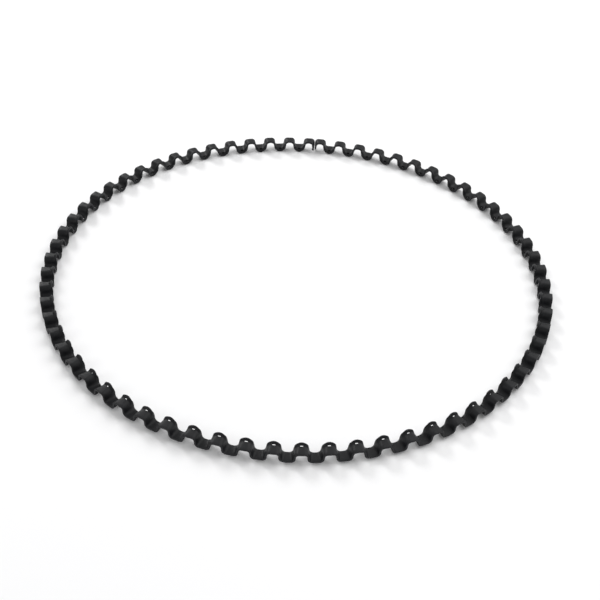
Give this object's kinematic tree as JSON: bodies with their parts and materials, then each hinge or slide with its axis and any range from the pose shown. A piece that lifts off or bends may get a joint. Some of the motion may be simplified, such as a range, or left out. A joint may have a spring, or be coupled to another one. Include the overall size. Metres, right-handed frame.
{
  "type": "oil ring expander",
  "caption": "Split ring of thin waved spring strip with flat rail pads, turned-up inner ears and a small oil slot at each ear; spaces and presses the two side rails of a piston oil ring.",
  "frame": {"origin": "centre of the ring, halfway between the upper and lower rail pads", "axes": "+Z along the ring's axis, +Y from the centre towards the split; the ring works either way up"},
  "size_m": [0.0852, 0.0852, 0.0026],
  "materials": {
    "strip": "dark nitrided, satin"
  },
  "bodies": {
    "left_half": {"left_half_ring": "strip"},
    "right_half": {"right_half_ring": "strip"}
  },
  "joints": [
    {"name": "split_opening", "type": "hinge", "parent": "left_half", "child": "right_half", "pos_m": [0, -0.04258, 0], "axis": [0, 0, -1], "range_deg": [0, 12], "stiffness_Nm_per_rad": 0.04}
  ]
}
